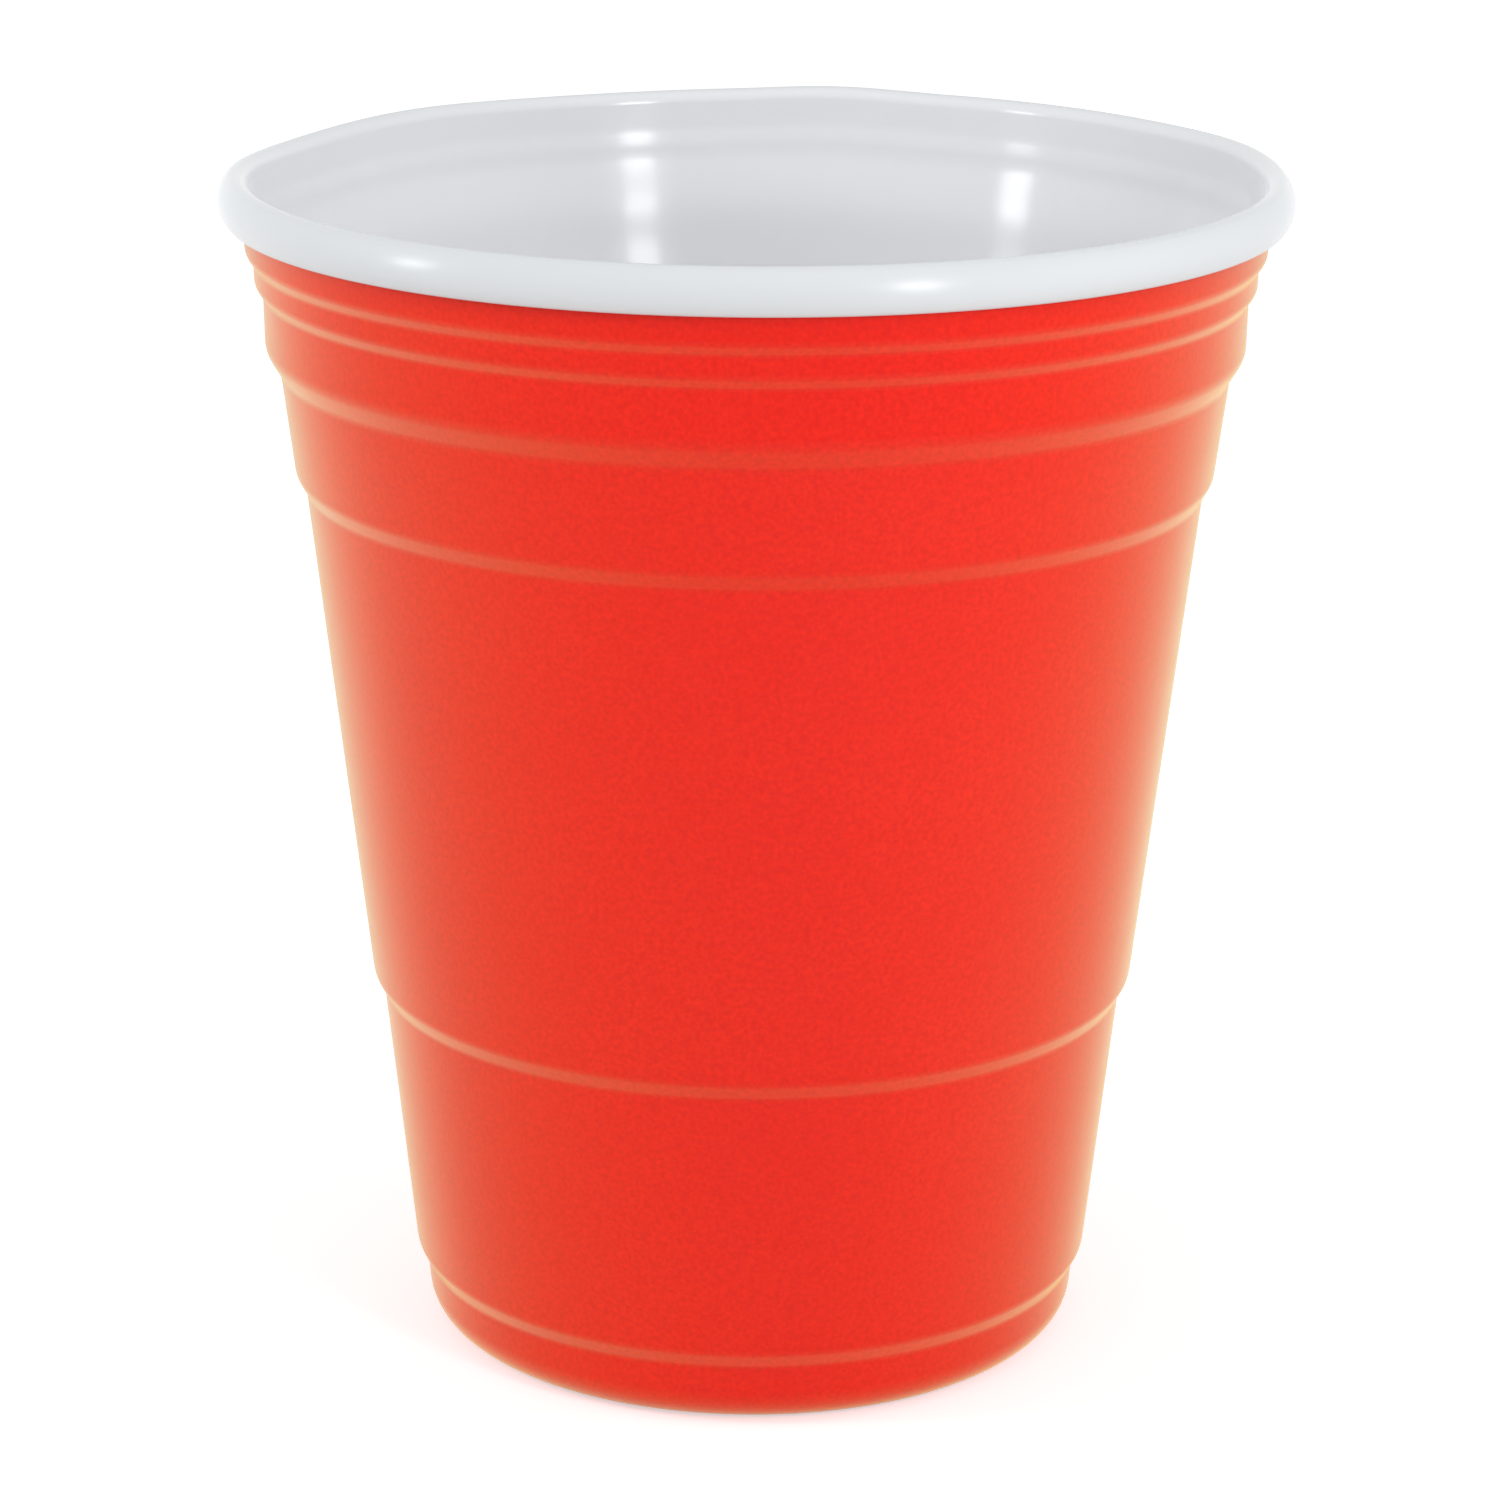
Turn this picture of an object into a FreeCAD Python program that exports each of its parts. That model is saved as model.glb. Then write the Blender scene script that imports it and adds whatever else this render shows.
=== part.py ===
import FreeCAD, Part
import math
import os
import Sketcher

# A disposable party cup, formed from one plastic sheet of even thickness.
# Millimetres, +Z up, origin on the axis in the plane that the foot stands on.
# The wall narrows towards the foot in seven bands with a rounded ledge under each but the last.
# Three bands lie close together under the lip, where the fingers hold the cup, and four below.
# The sheet is rolled outwards at the top into a hollow lip and dished up inside the foot.

# Driving sizes: alias, value, what it measures. Tapers lean from the upright, in degrees.
# A round is the radius on the inside of the bend, and the other face's is larger by the wall.
SIZES = [
    ("cup_height", 111.4, "standing plane to the top of the lip"),
    ("lip_diameter", 98.4, "outer diameter of the rolled lip"),
    ("wall", 0.4, "thickness of the sheet"),
    ("lip_height", 4.2, "top to bottom of the rolled lip"),
    ("lip_width", 2.75, "inner face of the neck to the outside of the lip"),
    ("lip_top_round", 0.75, "round over the top of the lip"),
    ("lip_curl_round", 0.5, "round at the bottom of the lip, where the sheet turns in"),
    ("lip_curl_turn", 120.0, "how far the sheet turns there, from level outwards"),
    ("lip_curl_gap", 0.2, "gap between that round and the neck"),
    ("neck_height", 3.7, "upright band under the lip, with the ledge at its bottom"),
    ("grip_height", 3.0, "second band, with its ledge"),
    ("grip_taper", 1.8, "taper of the second band"),
    ("barrel_height", 7.55, "third band, which turns in like a barrel, with its ledge"),
    ("barrel_taper", 1.2, "taper of the third band"),
    ("chest_height", 10.75, "fourth band, with its ledge"),
    ("chest_taper", 7.3, "taper of the fourth band"),
    ("body_taper", 6.7, "taper of the long fifth band, which takes up the rest of the height"),
    ("waist_height", 27.5, "sixth band, with its ledge"),
    ("waist_taper", 6.3, "taper of the sixth band"),
    ("foot_height", 6.15, "seventh band, down to the standing plane"),
    ("foot_taper", 5.0, "taper of the seventh band"),
    ("rim_step", 0.77, "how far each of the two ledges nearest the lip steps in"),
    ("rim_drop", 0.5, "how far each of them drops"),
    ("rim_round", 0.3, "round of their upper corners"),
    ("barrel_step", 1.34, "how far the ledge under the third band steps in"),
    ("barrel_drop", 2.55, "how far it drops"),
    ("barrel_round", 6.9, "round of its upper corner"),
    ("stack_step", 0.94, "how far each of the three lower ledges steps in"),
    ("stack_drop", 0.78, "how far each of them drops"),
    ("stack_round", 0.6, "round of their upper corners"),
    ("foot_round", 3.5, "round from the foot's side to the standing ring"),
    ("ring_width", 1.8, "flat width of the standing ring"),
    ("dish_depth", 2.6, "how far the base is dished up"),
    ("dish_slope", 33.0, "rise of the dish's side from level, in degrees"),
    ("dish_round", 1.2, "round at the foot and at the top of the dish's side"),
]

# The bands above the foot, from the lowest up: height, taper, and the ledge at the band's bottom.
# The long band takes up the height that the others leave, and the neck is upright.
BANDS = [
    ("waist_height", "waist_taper", "stack"),
    (None, "body_taper", "stack"),
    ("chest_height", "chest_taper", "stack"),
    ("barrel_height", "barrel_taper", "barrel"),
    ("grip_height", "grip_taper", "rim"),
    ("neck_height", None, "rim"),
]

# Places that both sketches share, as formulas of the sizes.
NECK_RADIUS = "Sizes.lip_diameter / 2 - Sizes.lip_width + Sizes.wall"
NECK_TOP = "Sizes.cup_height - Sizes.lip_height"

# The outside's section starts with four lines below the bands: base, dish, ring and foot.
FOOT_LINES = 4

START, END, CENTRE = 1, 2, 3
ORIGIN, V_AXIS, H_AXIS = (-1, 1), -2, -1
CLOSE = 1e-4


def add_sizes(doc):
    """The spreadsheet of driving sizes, one row each."""
    sheet = doc.addObject("Spreadsheet::Sheet", "Sizes")
    for row, (alias, value, meaning) in enumerate(SIZES, start=1):
        sheet.set("A%d" % row, meaning)
        sheet.set("B%d" % row, str(value))
        sheet.setAlias("B%d" % row, alias)
    doc.recompute()
    return sheet


def add_sketch(body, name):
    """A sketch in the body's upright plane: sketch X is the radius, sketch Y the height."""
    sketch = body.newObject("Sketcher::SketchObject", name)
    plane = [item for item in body.Origin.OriginFeatures if item.Role == "XZ_Plane"][0]
    sketch.AttachmentSupport = [(plane, "")]
    sketch.MapMode = "FlatFace"
    return sketch


def add_line(sketch, start, end, construction=False):
    ends = [FreeCAD.Vector(x, y, 0) for x, y in (start, end)]
    return sketch.addGeometry(Part.LineSegment(*ends), construction)


def add_arc(sketch, centre, radius, first_angle, last_angle):
    """An arc that runs anticlockwise from the first angle to the last, in degrees."""
    circle = Part.Circle(FreeCAD.Vector(centre[0], centre[1], 0), FreeCAD.Vector(0, 0, 1), radius)
    arc = Part.ArcOfCircle(circle, math.radians(first_angle), math.radians(last_angle))
    return sketch.addGeometry(arc, False)


def fix(sketch, kind, *where):
    sketch.addConstraint(Sketcher.Constraint(kind, *where))


def bind(sketch, formula, kind, *where):
    """A dimension that follows a formula of the sizes. Angles are in degrees in the formula."""
    value = float(sketch.evalExpression(formula))
    if kind == "Angle":
        value = math.radians(value)
    index = sketch.addConstraint(Sketcher.Constraint(kind, *where, value))
    sketch.setExpression("Constraints[%d]" % index, formula)


def section_corners(size):
    """Corners of the sheet's outer face from the middle of the base to the neck, in order.

    Each is (radius, height, round), where the round is the radius on that face, or 0 if sharp.
    """
    radius = size.lip_diameter / 2 - size.lip_width + size.wall
    height = size.cup_height - size.lip_height
    rest = height - size.foot_height - sum(getattr(size, name) for name, _, _ in BANDS if name)
    corners = [(radius, height, 0)]
    for name, taper, ledge in reversed(BANDS):
        step, drop, turn = [getattr(size, ledge + part) for part in ("_step", "_drop", "_round")]
        fall = (getattr(size, name) if name else rest) - drop
        lean = math.radians(getattr(size, taper)) if taper else 0
        radius -= fall * math.tan(lean)
        corners.append((radius, height - fall, turn + size.wall))
        radius -= step
        height -= fall + drop
        corners.append((radius, height, 0))
    foot_turn = math.radians(90 - size.foot_taper)
    dish_turn = math.radians(size.dish_slope)
    foot_round = size.foot_round + size.wall
    ring_round = size.dish_round + size.wall
    foot_radius = radius - height / math.tan(foot_turn)
    ring_cuts = foot_round * math.tan(foot_turn / 2) + ring_round * math.tan(dish_turn / 2)
    ring_radius = foot_radius - size.ring_width - ring_cuts
    dish_radius = ring_radius - size.dish_depth / math.tan(dish_turn)
    corners.append((foot_radius, 0, foot_round))
    corners.append((ring_radius, 0, ring_round))
    corners.append((dish_radius, size.dish_depth, size.dish_round))
    corners.append((0, size.dish_depth, 0))
    return corners[::-1]


def draw_chain(sketch, corners):
    """Lines from corner to corner, with an arc at each corner that has a round.

    Returns the lines and a handle on each corner. A rounded corner keeps its place as a point
    on both of its lines, so that heights and steps are measured between sharp corners.
    """
    places = [FreeCAD.Vector(x, y, 0) for x, y, _ in corners]
    ways = [(after - before).normalize() for before, after in zip(places, places[1:])]
    turns = [before.getAngle(after) for before, after in zip(ways, ways[1:])]
    cuts = [0] + [corner[2] * math.tan(turn / 2) for corner, turn in zip(corners[1:], turns)] + [0]
    lines = []
    for place, way in enumerate(ways):
        start = places[place] + way * cuts[place]
        end = places[place + 1] - way * cuts[place + 1]
        lines.append(add_line(sketch, (start.x, start.y), (end.x, end.y)))
    handles = [(lines[0], START)]
    for place in range(1, len(lines)):
        before, after = lines[place - 1], lines[place]
        radius = corners[place][2]
        if not radius:
            fix(sketch, "Coincident", before, END, after, START)
            handles.append((after, START))
            continue
        left = ways[place - 1].cross(ways[place]).z > 0
        side = FreeCAD.Vector(0, 0, 1 if left else -1).cross(ways[place - 1])
        centre = places[place] - ways[place - 1] * cuts[place] + side * radius
        leave = places[place] + ways[place] * cuts[place] - centre
        angles = [math.degrees(math.atan2(way.y, way.x)) for way in (side * -1, leave)]
        first, last = angles if left else reversed(angles)
        arc = add_arc(sketch, (centre.x, centre.y), radius, first, last)
        entry, leaving = (START, END) if left else (END, START)
        fix(sketch, "Tangent", before, END, arc, entry)
        fix(sketch, "Tangent", arc, leaving, after, START)
        corner = sketch.addGeometry(Part.Point(places[place]), True)
        fix(sketch, "PointOnObject", corner, START, before)
        fix(sketch, "PointOnObject", corner, START, after)
        handles.append((corner, START))
        sketch.addConstraint(Sketcher.Constraint("Radius", arc, radius))
        rounds = sketch.ConstraintCount - 1
        sketch.renameConstraint(rounds, "round_%d" % place)
    handles.append((lines[-1], END))
    return lines, handles


def draw_outside(body, size):
    """Closed half section of the space inside the sheet's outer face, up to the neck."""
    sketch = add_sketch(body, "OutsideSection")
    corners = section_corners(size)
    lines, handles = draw_chain(sketch, corners)
    base, dish, ring, foot = lines[:FOOT_LINES]
    rounds = [None, "Sizes.dish_round", "Sizes.dish_round + Sizes.wall",
              "Sizes.foot_round + Sizes.wall", None]

    fix(sketch, "Horizontal", base)
    bind(sketch, "Sizes.dish_depth", "DistanceY", *ORIGIN, *handles[0])
    bind(sketch, "180 - Sizes.dish_slope", "Angle", H_AXIS, START, dish, END)
    fix(sketch, "PointOnObject", ring, START, H_AXIS)
    fix(sketch, "PointOnObject", ring, END, H_AXIS)
    bind(sketch, "Sizes.ring_width", "DistanceX", ring, START, ring, END)
    bind(sketch, "90 - Sizes.foot_taper", "Angle", foot)
    bind(sketch, "Sizes.foot_height", "DistanceY", *ORIGIN, foot, END)
    for place, (height, taper, ledge) in enumerate(BANDS):
        low = FOOT_LINES + 2 * place
        root, corner, top = handles[low:low + 3]
        bind(sketch, "Sizes.%s_step" % ledge, "DistanceX", *root, *corner)
        bind(sketch, "Sizes.%s_drop" % ledge, "DistanceY", *root, *corner)
        if height:
            bind(sketch, "Sizes." + height, "DistanceY", *root, *top)
        if taper:
            bind(sketch, "90 - Sizes." + taper, "Angle", lines[low + 1])
        else:
            fix(sketch, "Vertical", lines[low + 1])
        rounds += ["Sizes.%s_round + Sizes.wall" % ledge, None]
    bind(sketch, NECK_RADIUS, "DistanceX", *ORIGIN, *handles[-1])
    bind(sketch, NECK_TOP, "DistanceY", *ORIGIN, *handles[-1])
    for place, formula in enumerate(rounds):
        if formula:
            sketch.setExpression("Constraints.round_%d" % place, formula)

    neck_radius, neck_top, _ = corners[-1]
    mouth = add_line(sketch, (neck_radius, neck_top), (0, neck_top))
    axis = add_line(sketch, (0, neck_top), (0, size.dish_depth))
    fix(sketch, "Horizontal", mouth)
    fix(sketch, "Coincident", *handles[-1], mouth, START)
    fix(sketch, "Coincident", mouth, END, axis, START)
    fix(sketch, "Coincident", axis, END, *handles[0])
    fix(sketch, "PointOnObject", axis, START, V_AXIS)
    fix(sketch, "PointOnObject", axis, END, V_AXIS)
    return sketch


def revolve(body, sketch, name):
    turned = body.newObject("PartDesign::Revolution", name)
    turned.Profile = sketch
    turned.ReferenceAxis = (sketch, ["V_Axis"])
    turned.Angle = 360
    body.Document.recompute()
    return turned


def hollow_out(body, feature):
    """Leaves the sheet: the solid's skin, inwards from its outer face, open at the neck."""
    top = max(range(len(feature.Shape.Faces)), key=lambda n: feature.Shape.Faces[n].CenterOfMass.z)
    sheet = body.newObject("PartDesign::Thickness", "FormedSheet")
    sheet.Base = (feature, ["Face%d" % (top + 1)])
    sheet.setExpression("Value", "Sizes.wall")
    sheet.Mode = "Skin"
    sheet.Join = "Intersection"
    sheet.Reversed = True
    body.Document.recompute()
    return sheet


def draw_lip(body, size):
    """Half section of the rolled lip: over the top, down its side and in below.

    Each arc of the visible face has a concentric one a sheet's thickness inside it.
    """
    sketch = add_sketch(body, "LipSection")
    lip_radius = size.lip_diameter / 2
    neck = lip_radius - size.lip_width
    neck_top = size.cup_height - size.lip_height
    top_round = size.lip_top_round + size.wall
    curl_round = size.lip_curl_round + size.wall
    top = (neck + top_round, size.cup_height - top_round)
    curl = (neck + size.wall + size.lip_curl_gap + curl_round, neck_top + curl_round)
    side_height = (top[1] + curl[1]) / 2
    reach = lip_radius - top[0]
    bow = reach ** 2 + (top[1] - side_height) ** 2 - top_round ** 2
    side_radius = bow / (2 * (reach - top_round))
    side = (lip_radius - side_radius, side_height)
    upper = math.degrees(math.atan2(top[1] - side[1], top[0] - side[0]))
    lower = math.degrees(math.atan2(curl[1] - side[1], curl[0] - side[0]))

    faces = []
    for depth in (0.0, size.wall):
        over = add_arc(sketch, top, top_round - depth, upper, 180)
        down = add_arc(sketch, side, side_radius - depth, lower, upper)
        back = add_arc(sketch, curl, curl_round - depth, -size.lip_curl_turn, lower)
        rise = add_line(sketch, (neck + depth, neck_top), (neck + depth, top[1]))
        fix(sketch, "Vertical", rise)
        fix(sketch, "Tangent", rise, END, over, END)
        fix(sketch, "Tangent", over, START, down, END)
        fix(sketch, "Tangent", down, START, back, END)
        faces.append((over, down, back, rise))
    for shown, hidden in zip(faces[0][:3], faces[1][:3]):
        fix(sketch, "Coincident", shown, CENTRE, hidden, CENTRE)
    over, down, back, rise = faces[0]
    inner_back, inner_rise = faces[1][2:]

    foot = add_line(sketch, (neck, neck_top), (neck + size.wall, neck_top))
    fix(sketch, "Horizontal", foot)
    fix(sketch, "Coincident", foot, START, rise, START)
    fix(sketch, "Coincident", foot, END, inner_rise, START)
    way = math.radians(-size.lip_curl_turn)
    ends = [(curl[0] + arm * math.cos(way), curl[1] + arm * math.sin(way))
            for arm in (size.lip_curl_round, curl_round)]
    edge = add_line(sketch, *ends)
    fix(sketch, "Coincident", edge, START, inner_back, START)
    fix(sketch, "Coincident", edge, END, back, START)
    fix(sketch, "PointOnObject", back, CENTRE, edge)
    outermost = add_line(sketch, (lip_radius, neck_top), (lip_radius, size.cup_height), True)
    fix(sketch, "Vertical", outermost)
    fix(sketch, "Tangent", down, outermost)

    bind(sketch, "Sizes.lip_diameter / 2", "DistanceX", *ORIGIN, outermost, START)
    bind(sketch, NECK_TOP, "DistanceY", *ORIGIN, outermost, START)
    bind(sketch, "Sizes.cup_height", "DistanceY", *ORIGIN, outermost, END)
    bind(sketch, NECK_TOP, "DistanceY", *ORIGIN, foot, START)
    bind(sketch, NECK_RADIUS, "DistanceX", *ORIGIN, foot, END)
    bind(sketch, "Sizes.wall", "DistanceX", foot, START, foot, END)
    bind(sketch, "Sizes.lip_top_round + Sizes.wall", "Radius", over)
    bind(sketch, "Sizes.cup_height - Sizes.lip_top_round - Sizes.wall", "DistanceY",
         *ORIGIN, over, CENTRE)
    bind(sketch, "Sizes.lip_curl_round + Sizes.wall", "Radius", back)
    bind(sketch, NECK_RADIUS + " + Sizes.lip_curl_gap + Sizes.lip_curl_round + Sizes.wall",
         "DistanceX", *ORIGIN, back, CENTRE)
    bind(sketch, NECK_TOP + " + Sizes.lip_curl_round + Sizes.wall", "DistanceY",
         *ORIGIN, back, CENTRE)
    bind(sketch, "-Sizes.lip_curl_turn", "Angle", edge)
    return sketch


def make_cup(doc, size):
    """The whole cup: its outside turned, hollowed to the sheet, and the lip rolled on."""
    body = doc.addObject("PartDesign::Body", "Cup")
    body.Label = "cup"
    outside = revolve(body, draw_outside(body, size), "Outside")
    hollow_out(body, outside)
    revolve(body, draw_lip(body, size), "Lip")
    body.Placement = FreeCAD.Placement()
    return body


def check(doc, parts, size):
    """Stops unless every object is up to date and the cup is one sound solid of its stated size."""
    doc.recompute()
    for item in doc.Objects:
        if "Invalid" in item.State or "Error" in item.State:
            raise RuntimeError("%s failed: %s" % (item.Name, item.State))
        if item.isDerivedFrom("Sketcher::SketchObject") and not item.FullyConstrained:
            raise RuntimeError("%s is not fully constrained" % item.Name)
    for part in parts:
        shape = part.Shape
        if shape.isNull() or not shape.isValid() or len(shape.Solids) != 1:
            raise RuntimeError("%s is not one sound solid" % part.Label)
        box = shape.optimalBoundingBox(False, False)
        if abs(box.ZMin) > CLOSE or abs(box.ZMax - size.cup_height) > CLOSE:
            raise RuntimeError("%s does not stand from 0 to its height" % part.Label)
        if abs(box.XLength - size.lip_diameter) > CLOSE:
            raise RuntimeError("%s is not as wide as its lip" % part.Label)


def main():
    doc = FreeCAD.newDocument("PartyCup")
    size = add_sizes(doc)
    parts = [make_cup(doc, size)]
    check(doc, parts, size)
    os.makedirs("parts", exist_ok=True)
    for part in parts:
        part.Shape.exportStep("parts/%s.step" % part.Label)
        print(part.Label, "holds %.1f mm3 of plastic" % part.Shape.Volume)


main()
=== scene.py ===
import math

import bpy
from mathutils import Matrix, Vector


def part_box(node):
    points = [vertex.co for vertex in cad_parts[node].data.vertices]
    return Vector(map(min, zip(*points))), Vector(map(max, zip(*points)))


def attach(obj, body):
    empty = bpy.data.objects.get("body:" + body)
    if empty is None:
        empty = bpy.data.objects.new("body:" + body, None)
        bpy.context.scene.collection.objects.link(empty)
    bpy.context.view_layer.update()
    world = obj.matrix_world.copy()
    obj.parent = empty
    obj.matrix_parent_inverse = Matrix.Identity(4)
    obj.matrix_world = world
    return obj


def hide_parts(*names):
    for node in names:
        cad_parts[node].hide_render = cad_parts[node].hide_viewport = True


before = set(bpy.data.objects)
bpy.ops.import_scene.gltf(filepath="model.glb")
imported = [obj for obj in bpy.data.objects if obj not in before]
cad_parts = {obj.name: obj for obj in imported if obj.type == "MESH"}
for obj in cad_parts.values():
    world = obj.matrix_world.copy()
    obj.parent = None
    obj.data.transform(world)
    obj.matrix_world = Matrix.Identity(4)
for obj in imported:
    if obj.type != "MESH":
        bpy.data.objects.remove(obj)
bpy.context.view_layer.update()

# The cup is one formed sheet, red on its outer face and white on its inner one, which the lip
# rolls outwards. It is drawn here as one mesh. Its section follows the CAD model's but for the
# bends of the ledges and of the white face. The section is in millimetres, the scene in metres.
MM = 0.001

# Sizes of the section. The height and the lip's diameter come from the frame.
low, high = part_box("cup")
CUP_HEIGHT = (high.z - low.z) / MM
LIP_RADIUS = (high.x - low.x) / 2 / MM
WALL = 0.4
LIP_HEIGHT, LIP_WIDTH = 4.2, 2.75
LIP_TOP_ROUND = 0.75
LIP_CURL_ROUND, LIP_CURL_TURN, LIP_CURL_GAP = 0.5, 120.0, 0.2
FOOT_HEIGHT, FOOT_TAPER, FOOT_ROUND = 6.15, 5.0, 3.5
RING_WIDTH = 1.8
DISH_DEPTH, DISH_SLOPE, DISH_ROUND = 2.6, 33.0, 1.2

# Ledges: how far each steps in, how far it drops, the round of its upper corner, and the bend
# at its foot on the red face. The steps are the CAD model's. The drops and rounds are chosen for
# the softness of the ledges' lines, and differ from it.
RIM_LEDGE = (0.77, 1.05, 0.9, 0.9)
BARREL_LEDGE = (1.34, 2.2, 2.2, 2.0)
STACK_LEDGE = (0.94, 1.6, 1.6, 1.6)

# The bands under the lip, from the top down: height with its ledge, taper, the ledge below it.
# The long band has no height of its own and takes up what the others leave. The third band is
# 0.3 mm shorter than the CAD model's and the fourth as much taller.
BANDS = [
    (3.7, 0.0, RIM_LEDGE),
    (3.0, 1.8, RIM_LEDGE),
    (7.25, 1.2, BARREL_LEDGE),
    (11.05, 7.3, STACK_LEDGE),
    (None, 6.7, STACK_LEDGE),
    (27.5, 6.3, STACK_LEDGE),
]

# The white face bends more softly than the red one, most of all near the lip, where the sheet
# is least drawn: over this height above and below each point, lower and higher up the wall.
SOFT_BEND_LOW, SOFT_BEND_HIGH = 1.9, 5.2
SOFT_LOW_BELOW, SOFT_HIGH_ABOVE = 86.0, 92.0
# Under the lip and over the upper ledges it is drawn in a little, all round: height, depth, and
# how far that reaches.
WAISTS = [(106.3, 0.12, 1.7), (97.0, 0.22, 10.5)]
# The rim isn't quite flat: direction from +X and reach either way, in degrees, and the rise
# there. The waves start at one height and are full at another.
RIM_WAVES = [(158, 30, -0.6), (114, 32, -0.3), (80, 14, 0.28), (14, 25, 0.25)]
WAVES_FROM, WAVES_FULL = 96.0, 107.0
# Over the lip both faces get a darker colour, painted shade that dims the lip against the wall
# inside: the radii where it starts and is full.
LIP_SHADE_FROM, LIP_SHADE_FULL = 46.7, 47.7
LIP_ROUGHNESS = 0.27
# Sizes of what varies in the sheet: its clouding, the fine grain in the pigment, its gloss, and
# the ripple and the grain of its surface, with the ripple's depth.
CLOUD_SIZE, SPECK_SIZE, GLOSS_SIZE = 18.0, 0.45, 3.0
RIPPLE_SIZE, RIPPLE_DEPTH, GRAIN_SIZE = 6.0, 0.006, 0.35
SHEEN_ROUGHNESS = 0.45
# The clear skin bends light so little that it mirrors only at a shallow angle.
SKIN_IOR, SKIN_ROUGHNESS = 1.15, 0.15
# How finely the mesh is cut.
TURNS = 256
ARC_STEP = math.radians(10)
LONGEST_RUN = 12.0
WHITE_STEP = 0.75
SOFTENING_TAPS = 25
SLOPE_STEP = 0.01


def section_corners():
    """Corners of the red face from the middle of the base up to the lip: (r, z, round)."""
    r = LIP_RADIUS - LIP_WIDTH + WALL
    z = CUP_HEIGHT - LIP_TOP_ROUND - WALL
    neck_foot = CUP_HEIGHT - LIP_HEIGHT
    set_bands = sum(height for height, _, _ in BANDS if height)
    long_band = neck_foot - FOOT_HEIGHT - set_bands
    corners = [(r, z, 0)]
    z = neck_foot
    for height, taper, (step, drop, turn, root) in BANDS:
        fall = (height or long_band) - drop
        r -= fall * math.tan(math.radians(taper))
        z -= fall
        corners.append((r, z, turn + WALL))
        r -= step
        z -= drop
        corners.append((r, z, root))
    foot_turn = math.radians(90 - FOOT_TAPER)
    dish_turn = math.radians(DISH_SLOPE)
    foot_round = FOOT_ROUND + WALL
    ring_round = DISH_ROUND + WALL
    r -= z / math.tan(foot_turn)
    corners.append((r, 0, foot_round))
    r -= RING_WIDTH + foot_round * math.tan(foot_turn / 2) + ring_round * math.tan(dish_turn / 2)
    corners.append((r, 0, ring_round))
    corners.append((r - DISH_DEPTH / math.tan(dish_turn), DISH_DEPTH, DISH_ROUND))
    corners.append((0, DISH_DEPTH, 0))
    return corners[::-1]


def arc(centre, radius, start, end):
    """Points on an arc with the direction away from its centre, ends included."""
    steps = max(2, math.ceil(abs(end - start) / ARC_STEP))
    angles = [start + (end - start) * n / steps for n in range(steps + 1)]
    ways = [Vector((math.cos(angle), math.sin(angle))) for angle in angles]
    return [(centre + way * radius, way) for way in ways]


def run(start, end, normal):
    """Points along a straight run, ends left out."""
    steps = math.ceil((end - start).length / LONGEST_RUN)
    return [(start.lerp(end, n / steps), normal) for n in range(1, steps)]


def wall_path():
    """The red face up the wall, as points with the direction out of the sheet there."""
    corners = [(Vector((r, z)), turn) for r, z, turn in section_corners()]
    path = []
    for n, (corner, turn) in enumerate(corners):
        before = (corner - corners[n - 1][0]).normalized() if n else None
        after = (corners[n + 1][0] - corner).normalized() if n + 1 < len(corners) else None
        if before is None or after is None:
            way = after or before
            bend = [(corner, Vector((way.y, -way.x)))]
        else:
            first, last = math.atan2(before.y, before.x), math.atan2(after.y, after.x)
            side = 1 if last > first else -1
            cut = turn * math.tan(abs(last - first) / 2)
            centre = corner - before * cut + Vector((-before.y, before.x)) * turn * side
            quarter = math.pi / 2 * side
            bend = arc(centre, turn, first - quarter, last - quarter)
            bend = [(point, way * side) for point, way in bend]
        if path:
            path += run(path[-1][0], bend[0][0], bend[0][1])
        path += bend
    return path


def lip_path():
    """The red face inside the rolled lip: over the top, down its side and in below."""
    neck = LIP_RADIUS - LIP_WIDTH
    top_round, curl_round = LIP_TOP_ROUND + WALL, LIP_CURL_ROUND + WALL
    top = Vector((neck + top_round, CUP_HEIGHT - top_round))
    curl = Vector((neck + WALL + LIP_CURL_GAP + curl_round, CUP_HEIGHT - LIP_HEIGHT + curl_round))
    height = (top.y + curl.y) / 2
    reach = LIP_RADIUS - top.x
    bow = reach ** 2 + (top.y - height) ** 2 - top_round ** 2
    side_round = bow / (2 * (reach - top_round))
    side = Vector((LIP_RADIUS - side_round, height))
    upper = math.atan2(top.y - side.y, top.x - side.x)
    lower = math.atan2(curl.y - side.y, curl.x - side.x)
    over = arc(top, top_round - WALL, math.pi, upper)
    down = arc(side, side_round - WALL, upper, lower)
    back = arc(curl, curl_round - WALL, lower, -math.radians(LIP_CURL_TURN))
    return [(point, -way) for point, way in over + down[1:] + back[1:]]


def soft_radius(wall, height):
    """The white face's radius at a height: the red one's, softened, less the sheet."""
    total = whole = 0.0
    share = (height - SOFT_LOW_BELOW) / (SOFT_HIGH_ABOVE - SOFT_LOW_BELOW)
    bend = SOFT_BEND_LOW + (SOFT_BEND_HIGH - SOFT_BEND_LOW) * min(max(share, 0.0), 1.0)
    for n in range(SOFTENING_TAPS):
        reach = 2 * n / (SOFTENING_TAPS - 1) - 1
        level = height + bend * reach
        place = next((k for k in range(1, len(wall)) if wall[k].y >= level), len(wall) - 1)
        before, after = wall[place - 1], wall[place]
        part = min(max((level - before.y) / (after.y - before.y), 0.0), 1.0)
        weight = 1 + math.cos(math.pi * reach)
        total += (before.x + (after.x - before.x) * part) * weight
        whole += weight
    waist = 0.0
    for middle, depth, reach in WAISTS:
        away = min(abs(height - middle) / reach, 1.0)
        waist += depth * (1 + math.cos(math.pi * away)) / 2
    return total / whole - WALL - waist


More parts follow.
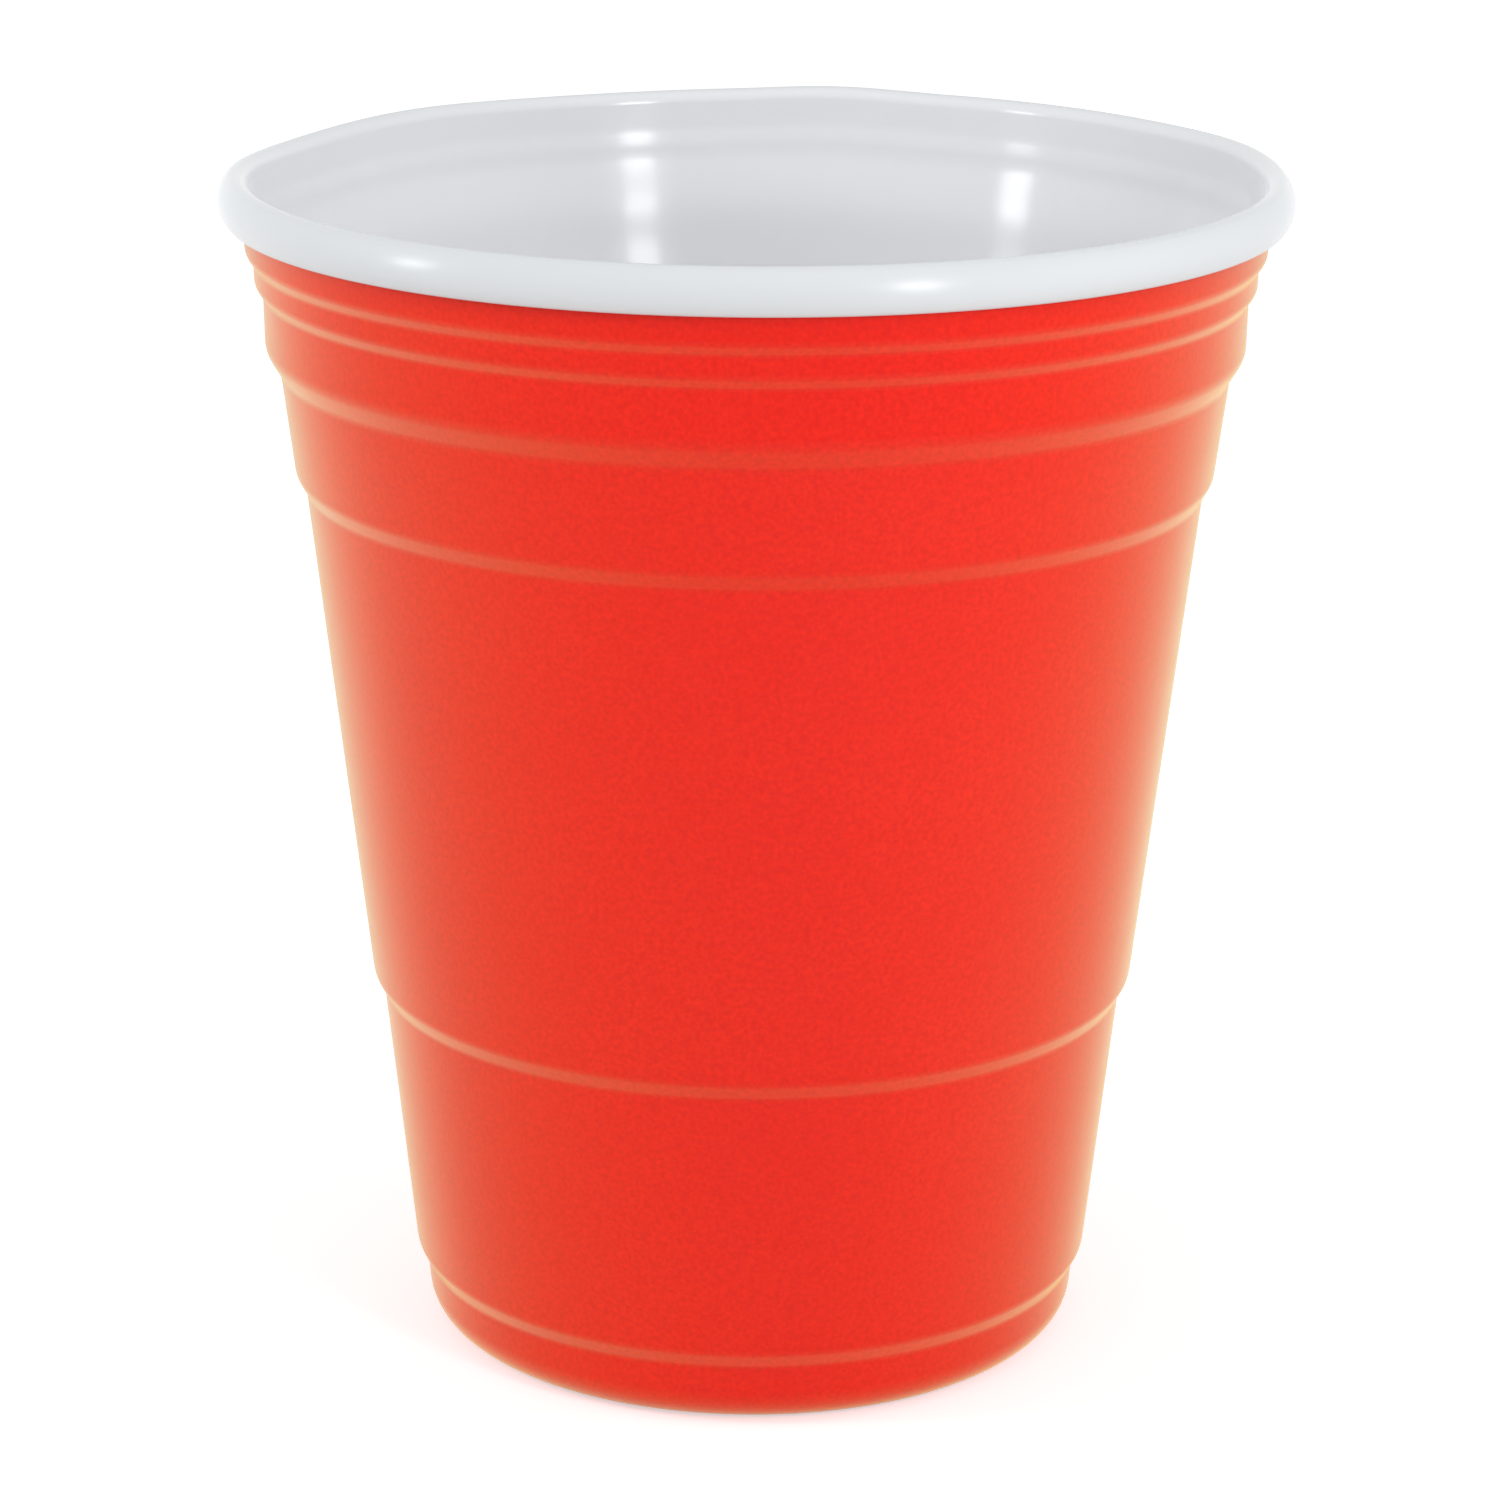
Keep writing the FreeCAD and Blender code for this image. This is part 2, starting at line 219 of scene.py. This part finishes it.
def white_path(red_wall, red_lip):
    """The white face from the middle of the base, with the direction out of the sheet there."""
    soft_from = FOOT_HEIGHT - 2 * SOFT_BEND_LOW
    climb = [point for point, _ in red_wall if point.y > soft_from / 2 and point.x > RING_WIDTH]
    climb = [point for k, point in enumerate(climb) if k == 0 or point.y > climb[k - 1].y]
    path = [(point - normal * WALL, -normal) for point, normal in red_wall
            if point.y < soft_from or point.x < climb[0].x]
    top = red_lip[0][0].y
    start = soft_from + WHITE_STEP
    steps = round((top - start) / WHITE_STEP)
    for n in range(steps):
        height = start + (top - start) * n / steps
        above = soft_radius(climb, height + SLOPE_STEP)
        below = soft_radius(climb, height - SLOPE_STEP)
        lean = (above - below) / (2 * SLOPE_STEP)
        path.append((Vector((soft_radius(climb, height), height)), Vector((-1, lean)).normalized()))
    path += [(point - normal * WALL, -normal) for point, normal in red_lip]
    return path


def rim_wave(direction, height):
    """How far the rim's waves lift a point, with the direction in degrees from +X."""
    share = min(max((height - WAVES_FROM) / (WAVES_FULL - WAVES_FROM), 0.0), 1.0)
    lift = 0.0
    for middle, reach, rise in RIM_WAVES:
        away = min(abs((direction - middle + 180) % 360 - 180) / reach, 1.0)
        lift += rise * (1 + math.cos(math.pi * away)) / 2
    return lift * share * share * (3 - 2 * share)


def make_cup():
    """The sheet turned about the cup's axis: the red face, the white face and the cut edge."""
    red_wall, red_lip = wall_path(), lip_path()
    red = red_wall + red_lip[1:]
    white = white_path(red_wall, red_lip)
    rings = red + white[::-1]
    edge = len(red) - 1

    spin = [(math.cos(math.tau * n / TURNS), math.sin(math.tau * n / TURNS)) for n in range(TURNS)]
    vertices, first = [], []
    for point, _ in rings:
        first.append(len(vertices))
        for n, (c, s) in enumerate(spin if point.x > 1e-6 else spin[:1]):
            height = point.y + rim_wave(360 * n / TURNS, point.y)
            vertices.append((point.x * c * MM, point.x * s * MM, height * MM))

    faces, slots, normals = [], [], []
    for n in range(len(rings) - 1):
        low_normal, high_normal = rings[n][1], rings[n + 1][1]
        if n == edge:
            cut = rings[n + 1][0] - rings[n][0]
            low_normal = high_normal = Vector((-cut.y, cut.x)).normalized() * -1
        for k in range(TURNS):
            following = (k + 1) % TURNS
            if n == 0:
                ring = [(0, 0, k), (1, following, following), (1, k, k)]
            elif n == len(rings) - 2:
                ring = [(0, k, k), (0, following, following), (1, 0, k)]
            else:
                ring = [(0, k, k), (0, following, following), (1, following, following), (1, k, k)]
            faces.append([first[n + up] + place for up, place, _ in ring])
            for up, _, turn in ring:
                normal = high_normal if up else low_normal
                c, s = spin[turn]
                normals.append((normal.x * c, normal.x * s, normal.y))
            slots.append(0 if n <= edge else 1)

    mesh = bpy.data.meshes.new("cup_sheet")
    mesh.from_pydata(vertices, [], faces)
    mesh.polygons.foreach_set("material_index", slots)
    mesh.polygons.foreach_set("use_smooth", [True] * len(faces))
    mesh.normals_split_custom_set(normals)
    mesh.update()
    cup = bpy.data.objects.new("cup_sheet", mesh)
    bpy.context.scene.collection.objects.link(cup)
    return cup


def add(tree, kind, **inputs):
    """A node with the given input values. A name's underscores stand for spaces."""
    node = tree.nodes.new(kind)
    for name, value in inputs.items():
        node.inputs[name.replace("_", " ")].default_value = value
    return node


def noise(tree, place, size, detail=2.0):
    """Soft noise with features of about the given size in millimetres."""
    node = add(tree, "ShaderNodeTexNoise", Scale=1 / (size * MM), Detail=detail)
    tree.links.new(place.outputs["Object"], node.inputs["Vector"])
    return node.outputs["Fac"]


def spread(tree, factor, low_value, high_value):
    """Carries noise over to a range of values."""
    node = add(tree, "ShaderNodeMapRange", From_Min=0.3, From_Max=0.7,
               To_Min=low_value, To_Max=high_value)
    tree.links.new(factor, node.inputs["Value"])
    return node.outputs["Result"]


def bump(tree, height, depth, under=None):
    """Relief of the given depth in millimetres."""
    node = add(tree, "ShaderNodeBump", Distance=depth * MM, Strength=1.0)
    tree.links.new(height, node.inputs["Height"])
    if under:
        tree.links.new(under, node.inputs["Normal"])
    return node.outputs["Normal"]


def blend(tree, factor, first, second):
    """A mix of two colours. Each is a colour or a socket."""
    mix = tree.nodes.new("ShaderNodeMix")
    mix.data_type = "RGBA"
    sockets = {socket.identifier: socket for socket in [*mix.inputs, *mix.outputs]}
    tree.links.new(factor, sockets["Factor_Float"])
    for name, colour in (("A_Color", first), ("B_Color", second)):
        if isinstance(colour, tuple):
            sockets[name].default_value = (*colour, 1)
        else:
            tree.links.new(colour, sockets[name])
    return sockets["Result_Color"]


def plastic(name, colour, shade, speck_colour, lip_shade, rough, gloss, sheen, glow, skin,
            grain_depth, anisotropy):
    """Formed sheet: its colour clouds a little where it was drawn thin, and its gloss varies.

    colour and shade are the two ends of the clouding, and speck_colour that of the fine grain.
    The lip's colour is painted shade: a darker colour over the lip. rough gives the two ends of
    the roughness. glow is the colour of the soft sheen that the pigment gives at a shallow angle,
    and skin the share of a thin clear skin that mirrors only there.
    """
    material = bpy.data.materials.new(name)
    material.use_nodes = True
    tree = material.node_tree
    shader = tree.nodes["Principled BSDF"]
    place = tree.nodes.new("ShaderNodeTexCoord")

    cloud = spread(tree, noise(tree, place, CLOUD_SIZE, 3.0), 0.0, 1.0)
    speck = spread(tree, noise(tree, place, SPECK_SIZE, 2.0), 0.0, 1.0)
    drawn = blend(tree, speck, blend(tree, cloud, colour, shade), speck_colour)
    level = tree.nodes.new("ShaderNodeVectorMath")
    level.operation = "MULTIPLY"
    tree.links.new(place.outputs["Object"], level.inputs[0])
    level.inputs[1].default_value = (1, 1, 0)
    radius = tree.nodes.new("ShaderNodeVectorMath")
    radius.operation = "LENGTH"
    tree.links.new(level.outputs["Vector"], radius.inputs[0])
    # Over the lip the colour turns to the lip's darker one, painted shade; the same mask sets the
    # lip's roughness.
    over = add(tree, "ShaderNodeMapRange", From_Min=LIP_SHADE_FROM * MM,
               From_Max=LIP_SHADE_FULL * MM)
    tree.links.new(radius.outputs["Value"], over.inputs["Value"])
    tree.links.new(blend(tree, over.outputs["Result"], drawn, lip_shade), shader.inputs["Base Color"])

    gloss_noise = noise(tree, place, GLOSS_SIZE, 4.0)
    worn = tree.nodes.new("ShaderNodeMix")
    tree.links.new(over.outputs["Result"], worn.inputs["Factor"])
    tree.links.new(spread(tree, gloss_noise, *rough), worn.inputs["A"])
    worn.inputs["B"].default_value = LIP_ROUGHNESS
    tree.links.new(worn.outputs["Result"], shader.inputs["Roughness"])
    ripple = bump(tree, noise(tree, place, RIPPLE_SIZE, 1.0), RIPPLE_DEPTH)
    grain = bump(tree, noise(tree, place, GRAIN_SIZE, 2.0), grain_depth, ripple)
    tree.links.new(grain, shader.inputs["Normal"])

    shader.inputs["Specular IOR Level"].default_value = gloss
    shader.inputs["Sheen Weight"].default_value = sheen
    shader.inputs["Sheen Roughness"].default_value = SHEEN_ROUGHNESS
    shader.inputs["Sheen Tint"].default_value = (*glow, 1)
    shader.inputs["Coat Weight"].default_value = skin
    shader.inputs["Coat IOR"].default_value = SKIN_IOR
    shader.inputs["Coat Roughness"].default_value = SKIN_ROUGHNESS
    if anisotropy:
        tangent = tree.nodes.new("ShaderNodeTangent")
        tangent.direction_type = "RADIAL"
        tangent.axis = "Z"
        tree.links.new(tangent.outputs["Tangent"], shader.inputs["Tangent"])
        shader.inputs["Anisotropic"].default_value = anisotropy
        shader.inputs["Anisotropic Rotation"].default_value = 0.25
    return material


def seen_or_mirrored(tree):
    """1 for what the camera sees itself, in gloss or through something clear, and 0 for light."""
    path = tree.nodes.new("ShaderNodeLightPath")
    total = path.outputs["Is Camera Ray"]
    for name in ("Is Glossy Ray", "Is Transmission Ray"):
        most = tree.nodes.new("ShaderNodeMath")
        most.operation = "MAXIMUM"
        tree.links.new(total, most.inputs[0])
        tree.links.new(path.outputs[name], most.inputs[1])
        total = most.outputs[0]
    return total


ROOM_LIGHT = 0.60
FLOOR_SIZE, FLOOR_SHADE = 4.0, 0.76
# How much whiter the table looks than its light makes it.
FLOOR_LIFT = 0.54


def make_floor():
    """A wide pale table."""
    size = FLOOR_SIZE
    mesh = bpy.data.meshes.new("floor")
    corners = [(-size, -size, 0), (size, -size, 0), (size, size, 0), (-size, size, 0)]
    mesh.from_pydata(corners, [], [(0, 1, 2, 3)])
    floor = bpy.data.objects.new("floor", mesh)
    bpy.context.scene.collection.objects.link(floor)
    material = bpy.data.materials.new("pale_table")
    material.use_nodes = True
    tree = material.node_tree
    shader = tree.nodes["Principled BSDF"]
    shader.inputs["Base Color"].default_value = (FLOOR_SHADE, FLOOR_SHADE, FLOOR_SHADE, 1)
    shader.inputs["Roughness"].default_value = 0.9
    shader.inputs["Specular IOR Level"].default_value = 0.1
    shader.inputs["Emission Color"].default_value = (1, 1, 1, 1)
    glow = tree.nodes.new("ShaderNodeMath")
    glow.operation = "MULTIPLY"
    tree.links.new(seen_or_mirrored(tree), glow.inputs[0])
    glow.inputs[1].default_value = FLOOR_LIFT
    tree.links.new(glow.outputs[0], shader.inputs["Emission Strength"])
    mesh.materials.append(material)


def make_world():
    """Even light from all sides, and plain white where it is seen or mirrored."""
    world = bpy.data.worlds.new("studio")
    bpy.context.scene.world = world
    world.use_nodes = True
    tree = world.node_tree
    tree.nodes.clear()
    light = add(tree, "ShaderNodeBackground", Color=(1, 1, 1, 1), Strength=ROOM_LIGHT)
    seen = add(tree, "ShaderNodeBackground", Color=(1, 1, 1, 1), Strength=1.0)
    mix = tree.nodes.new("ShaderNodeMixShader")
    tree.links.new(seen_or_mirrored(tree), mix.inputs["Fac"])
    tree.links.new(light.outputs[0], mix.inputs[1])
    tree.links.new(seen.outputs[0], mix.inputs[2])
    out = tree.nodes.new("ShaderNodeOutputWorld")
    tree.links.new(mix.outputs[0], out.inputs["Surface"])


def add_lamp(name, azimuth, elevation, distance, width, height, power, mirrored=True):
    """A soft box that faces the cup's mouth. Azimuth is in degrees, to the camera's right."""
    lamp = bpy.data.lights.new(name, "AREA")
    lamp.shape = "RECTANGLE"
    lamp.size, lamp.size_y = width, height
    lamp.energy = power
    holder = bpy.data.objects.new(name, lamp)
    bpy.context.scene.collection.objects.link(holder)
    turn, rise = math.radians(azimuth), math.radians(elevation)
    away = Vector((math.sin(turn) * math.cos(rise), -math.cos(turn) * math.cos(rise),
                   math.sin(rise)))
    holder.location = Vector((0, 0, CUP_HEIGHT * MM)) + away * distance
    holder.rotation_euler = away.to_track_quat("Z", "Y").to_euler()
    holder.visible_camera = False
    holder.visible_glossy = mirrored


# The photograph's camera, found from the outline of the cup: it stands in front of the cup,
# looks down and leans a little. The picture is 1500 pixels wide. The place is in millimetres and
# the angles in degrees.
PICTURE = 1500
FOCAL_PIXELS = 4904
SENSOR = 36.0
CAMERA_BACK, CAMERA_HEIGHT = 445.67, 187.82
CAMERA_PITCH, CAMERA_ROLL = 16.499, 0.343
MIDDLE_PIXEL = 753.2


def make_camera():
    """The photograph's camera."""
    camera = bpy.data.cameras.new("camera")
    camera.sensor_fit = "HORIZONTAL"
    camera.sensor_width = SENSOR
    camera.lens = SENSOR * FOCAL_PIXELS / PICTURE
    camera.clip_start = 0.01
    holder = bpy.data.objects.new("camera", camera)
    bpy.context.scene.collection.objects.link(holder)
    holder.location = (0, -CAMERA_BACK * MM, CAMERA_HEIGHT * MM)
    yaw = math.atan((MIDDLE_PIXEL - PICTURE / 2) / FOCAL_PIXELS)
    holder.rotation_euler = (math.radians(90 - CAMERA_PITCH), 0, yaw)
    holder.rotation_euler.rotate_axis("Z", math.radians(CAMERA_ROLL))
    bpy.context.scene.camera = holder


cup = make_cup()
# The fifth colour of each is painted shade over the lip, darker than the sheet's own colour.
RED = plastic("red_face", (0.99, 0.010, 0.001), (0.97, 0.006, 0.001), (0.86, 0.002, 0.001),
              (0.96, 0.008, 0.001), (0.16, 0.22), 0.21, 0.72, (1.0, 0.74, 0.0), 0.65, 0.0010, 0.0)
WHITE = plastic("white_face", (0.88, 0.89, 0.915), (0.87, 0.88, 0.905), (0.875, 0.885, 0.91),
                (0.77, 0.80, 0.82), (0.175, 0.195), 0.4, 0.0, (1.0, 1.0, 1.0), 0.0, 0.0002, 0.9)
cup.data.materials.append(RED)
cup.data.materials.append(WHITE)
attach(cup, "root")
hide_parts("cup")

make_floor()
make_world()
add_lamp("lamp_right", 31, 12, 0.30, 0.042, 0.095, 0.19)
add_lamp("shade_right", 31, 14, 0.31, 0.095, 0.09, 0.05)
add_lamp("lamp_left", -71, 14, 0.30, 0.042, 0.07, 0.14)
add_lamp("fill_right", 85, 30, 1.2, 0.7, 0.7, 1.9, mirrored=False)
add_lamp("fill_left", -85, 30, 1.2, 0.7, 0.7, 2.0, mirrored=False)
make_camera()

bpy.context.scene.view_settings.view_transform = "Standard"
